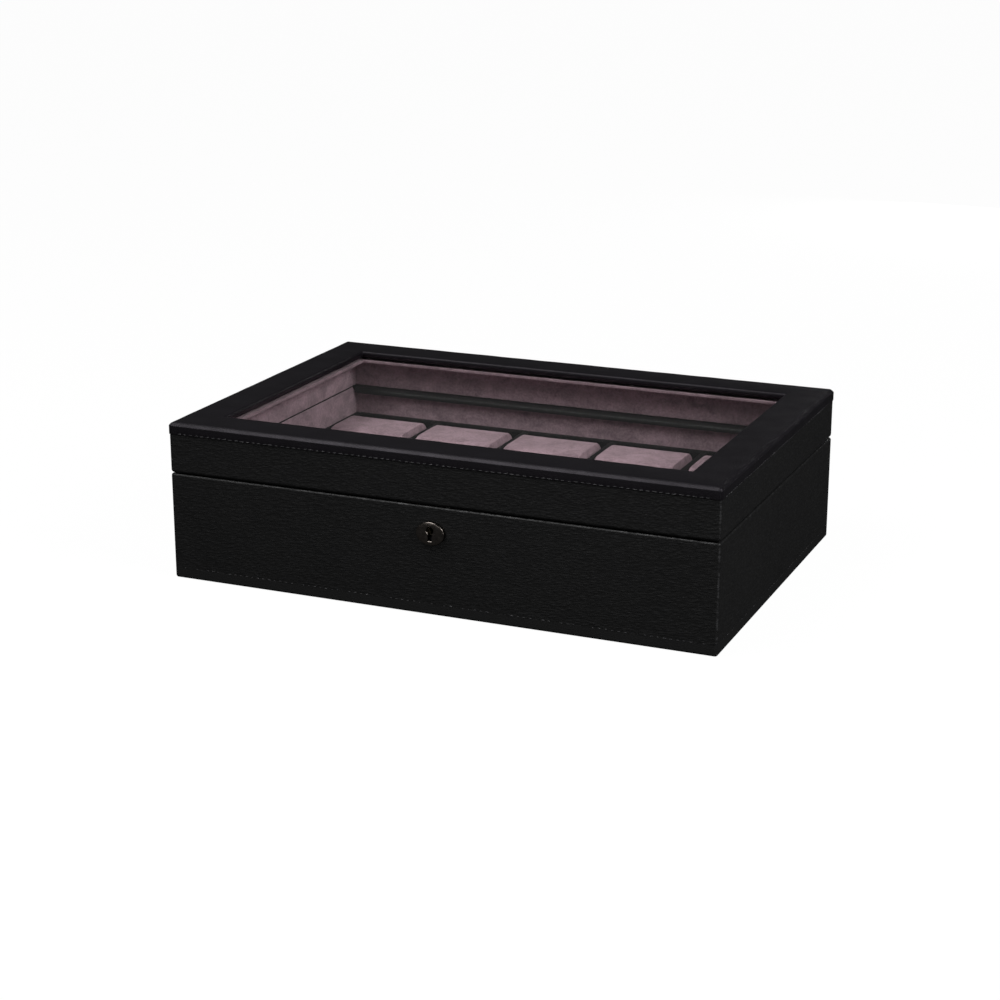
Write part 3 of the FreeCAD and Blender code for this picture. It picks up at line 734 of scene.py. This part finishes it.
def cushion_sections(half):
    """Sections from a cushion's middle to its end, with draw and shrink, and the seam's number."""
    seam_x = half - cushion_seam_inset
    flat = seam_x - cushion_end_radius
    sections = [(flat * i / 8, 0.0, 0.0) for i in range(9)]
    for i in range(1, 6):
        angle = math.pi / 2 * i / 5
        x = flat + cushion_end_radius * math.sin(angle)
        sections.append((x, cushion_end_radius * (1 - math.cos(angle)), 0.0))
    seam_draw = cushion_end_radius + cushion_seam_depth
    seam = len(sections)
    sections.append((seam_x + cushion_seam_width, seam_draw, 0.0))
    for share in (0.05, 0.14, 0.3, 0.5, 0.7, 0.9):
        bulge = math.sin(math.pi / 2 * min(1, share * 2))
        sections.append((seam_x + cushion_seam_inset * bulge, seam_draw, share))
    return sections, seam


def cushion_blank(size):
    """Sewn blank of a cushion, from a wrap and two end panels, and the points of its seams."""
    half = size.x / 2
    sections, seam = cushion_sections(half)
    bm = bmesh.new()
    outward = reversed(sections[1:])
    left = [cushion_ring(bm, -x, size, draw, share) for x, draw, share in outward]
    right = [cushion_ring(bm, x, size, draw, share) for x, draw, share in sections]
    rings = left + right
    count = len(rings[0])
    join_rings(bm, rings)
    for ring, x in ((rings[0], -half), (rings[-1], half)):
        tip = bm.verts.new((x, 0, 0))
        for i in range(count):
            bm.faces.new((ring[i], ring[(i + 1) % count], tip))
    bm.verts.index_update()
    pinned = [v.index for ring in (left[-seam], right[seam]) for v in ring]
    return bm, pinned


def inflate(blank, pinned):
    """Fills a sewn blank with a short cloth run and gives the points of the swollen cover."""
    group = blank.vertex_groups.new(name="seams")
    group.add(pinned, 1.0, "REPLACE")
    cloth = blank.modifiers.new("fill", "CLOTH")
    cloth.settings.quality = 6
    cloth.settings.mass = 0.25
    cloth.settings.tension_stiffness = 12
    cloth.settings.compression_stiffness = 12
    cloth.settings.bending_stiffness = 0.4
    cloth.settings.use_pressure = True
    cloth.settings.uniform_pressure_force = fill_pressure
    cloth.settings.vertex_group_mass = "seams"
    cloth.settings.effector_weights.gravity = 0
    cloth.point_cache.frame_start = 1
    cloth.point_cache.frame_end = fill_frames
    scene = bpy.context.scene
    for number in range(1, fill_frames + 1):
        scene.frame_set(number)
    filled = blank.evaluated_get(bpy.context.evaluated_depsgraph_get())
    points = [v.co.copy() for v in filled.data.vertices]
    blank.modifiers.remove(cloth)
    scene.frame_set(1)
    return points


def cushion_form():
    """The filled shape that all the cushions share, about its own middle."""
    low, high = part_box("cushion_2_3")
    room = (high - low) / 2 - Vector((1, 1, 1)) * cushion_clear
    size = (high - low) * cushion_start
    bm, pinned = cushion_blank(size)
    blank = new_piece("cushion_blank", bm, materials["cushion_suede"])
    moved = inflate(blank, pinned)
    for vert, target in zip(blank.data.vertices, moved):
        step = target - vert.co
        if step.length > cushion_swell:
            step *= cushion_swell / step.length
        vert.co += step
    for vert in blank.data.vertices:
        for axis in range(3):
            vert.co[axis] = max(-room[axis], min(room[axis], vert.co[axis]))
    data = blank.data
    bpy.data.objects.remove(blank)
    return data


def cushions():
    """One filled cushion in each compartment, each a little different."""
    form = cushion_form()
    for body, members in frame["record"]["behaviour"]["bodies"].items():
        if not body.startswith("cushion_"):
            continue
        low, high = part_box(members[0])
        centre = (low + high) / 2
        data = form.copy()
        for vert in data.vertices:
            dent = noise.noise((vert.co + centre * 7) / dent_patch)
            crease = noise.noise((vert.co + centre * 3) / crease_patch)
            vert.co *= 1 - dent_share * abs(dent) - crease_share * abs(crease)
            vert.co += centre
        made = bpy.data.objects.new("filled_" + body, data)
        bpy.context.scene.collection.objects.link(made)
        smoother = made.modifiers.new("smoother", "SUBSURF")
        smoother.levels = 1
        smoother.render_levels = 1
        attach(made, body)
        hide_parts(members[0])


def soft_lining(node):
    """A lining panel with softened edges, and with black leather over the level top of the base's,
    which also paints the seam between lid and base linings dark in place of shade in the gap.
    """
    bm = bmesh.new()
    bm.from_mesh(nodes[node].data)
    bmesh.ops.remove_doubles(bm, verts=bm.verts, dist=lining_weld)
    bmesh.ops.dissolve_limit(bm, angle_limit=flat_angle, verts=bm.verts, edges=bm.edges)
    sharp = [e for e in bm.edges if e.is_manifold and e.calc_face_angle(0) > sharp_angle]
    bmesh.ops.bevel(
        bm,
        geom=sharp,
        offset=lining_rounding,
        segments=3,
        profile=0.5,
        affect="EDGES",
        clamp_overlap=True,
    )
    bmesh.ops.triangulate(bm, faces=[f for f in bm.faces if len(f.verts) > 4])
    made = new_piece("soft_" + node, bm, materials["suede_lining"], smooth=False)
    # Black leather on the base panels' level tops: partly the rim's covering, partly painted shade
    # that darkens the seam line.
    if nodes[node]["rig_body"] == "base":
        made.data.materials.append(materials["grained_leather"])
        for face in made.data.polygons:
            face.material_index = int(face.normal.z > level_normal)
    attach(made, nodes[node]["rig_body"])
    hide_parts(node)


def bead_depth(x, half_run):
    """How far the strip over the hinge bulges at x. It eases to nothing before its ends."""
    room = half_run - abs(x)
    ease = max(0.0, min(1.0, (room - bead_end) / bead_end))
    return bead_stand * math.sqrt(1 - (1 - ease) ** 2)


def hinge_bead():
    """Folded leather strip over the hinge, which bulges into the box along the rear."""
    low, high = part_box("hinge_cover_strip")
    glued = high.y - low.y
    half_height = (high.z - low.z) / 2
    middle = (high.z + low.z) / 2
    section = []
    for y, z in arc((0, 0), 1, 90, 270, 28):
        blunt_z = math.copysign(abs(z) ** bead_bluntness, z)
        section.append((-(abs(y) ** bead_bluntness), blunt_z))
    bm = bmesh.new()
    rings = []
    for i in range(bead_steps + 1):
        x = low.x + (high.x - low.x) * i / bead_steps
        sway = 1 + bead_sway * noise.noise(Vector((x / bead_sway_patch, 0, 0)))
        depth = glued + bead_depth(x, high.x) * sway
        points = [(x, high.y + y * depth, middle + z * half_height) for y, z in section]
        rings.append([bm.verts.new(point) for point in points])
    join_rings(bm, rings)
    bm.faces.new(rings[0])
    bm.faces.new(rings[-1])
    made = new_piece("hinge_bead", bm, foot_material)
    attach(made, "base")
    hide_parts("hinge_cover_strip")


def background_share(tree, mirrored, unseen):
    """1 straight to the camera or through glass, mirrored in reflections, and else unseen."""
    path = tree.nodes.new("ShaderNodeLightPath")
    to_camera = path.outputs["Is Camera Ray"]
    through_glass = path.outputs["Is Transmission Ray"]
    straight = combine(tree, "MAXIMUM", to_camera, through_glass)
    mirrors = combine(tree, "MULTIPLY", path.outputs["Is Glossy Ray"], mirrored)
    seen = combine(tree, "MAXIMUM", straight, mirrors)
    return combine(tree, "MAXIMUM", seen, unseen)


def floor():
    """A wide plain floor, dark in itself, that glows white to the camera and keeps a faint shadow."""
    bm = bmesh.new()
    bmesh.ops.create_grid(bm, x_segments=1, y_segments=1, size=floor_reach)
    made, tree, shader = new_material("pale_floor")
    shader.inputs["Base Color"].default_value = (floor_tone, floor_tone, floor_tone, 1.0)
    shader.inputs["Roughness"].default_value = 0.9
    shader.inputs["Specular IOR Level"].default_value = 0.0
    shader.inputs["Emission Color"].default_value = (1.0, 1.0, 1.0, 1.0)
    seen = background_share(tree, floor_mirrored, 0.0)
    tree.links.new(combine(tree, "MULTIPLY", seen, floor_glow), shader.inputs["Emission Strength"])
    ground = new_piece("floor", bm, made, smooth=False)
    ground.location.z = -floor_drop


def surroundings():
    """White to the camera, and a dim even room to everything else, reflections included."""
    world = bpy.data.worlds.new("studio")
    bpy.context.scene.world = world
    world.use_nodes = True
    tree = world.node_tree
    background = tree.nodes["Background"]
    background.inputs["Color"].default_value = (1.0, 1.0, 1.0, 1.0)
    tree.links.new(background_share(tree, room_light, room_light), background.inputs["Strength"])


def aim(made, place, target):
    """Sets a lamp or camera at its place, turned to its target, in the scene."""
    made.location = place
    made.rotation_euler = (Vector(target) - Vector(place)).to_track_quat("-Z", "Y").to_euler()
    bpy.context.scene.collection.objects.link(made)


def soft_light(name, place, width, height, power):
    """A flat lamp that points at the box, with its power in watts."""
    data = bpy.data.lights.new(name, "AREA")
    data.shape = "RECTANGLE"
    data.size = width
    data.size_y = height
    data.energy = power
    aim(bpy.data.objects.new(name, data), place, lamp_target)


def camera():
    """The view of the photograph."""
    data = bpy.data.cameras.new("camera")
    data.lens = lens
    data.sensor_width = sensor
    made = bpy.data.objects.new("camera", data)
    aim(made, camera_place, camera_target)
    bpy.context.scene.camera = made


dress_nodes()
top_leather()
stitch_row("lid_stitches", "lid", skirt_stitch_z, hem_stand)
stitch_row("foot_stitches", "base", foot_stitch_z, -foot_stitch_sunk)
lock_plate()
hinge_bead()
for side in ("front", "rear", "left", "right"):
    soft_lining("base_lining_" + side)
    soft_lining("lid_lining_" + side)
cushions()
floor()
surroundings()
soft_light("key_light", (1.15, -0.3, 0.9), 0.7, 0.7, 17.0)
soft_light("top_light", (-0.5, -0.68, 1.25), 0.9, 0.9, 11.0)
soft_light("overhead_light", (-0.55, -0.25, 1.4), 0.8, 0.8, 4.5)
soft_light("front_light", (-0.3, -1.6, 0.12), 0.9, 0.25, 2.1)
soft_light("back_light", (0.05, 1.5, 0.06), 0.25, 0.25, 4.5)
soft_light("low_light", (1.0, -1.05, 0.12), 0.25, 0.25, 1.0)
camera()
bpy.context.scene.view_settings.view_transform = "Standard"
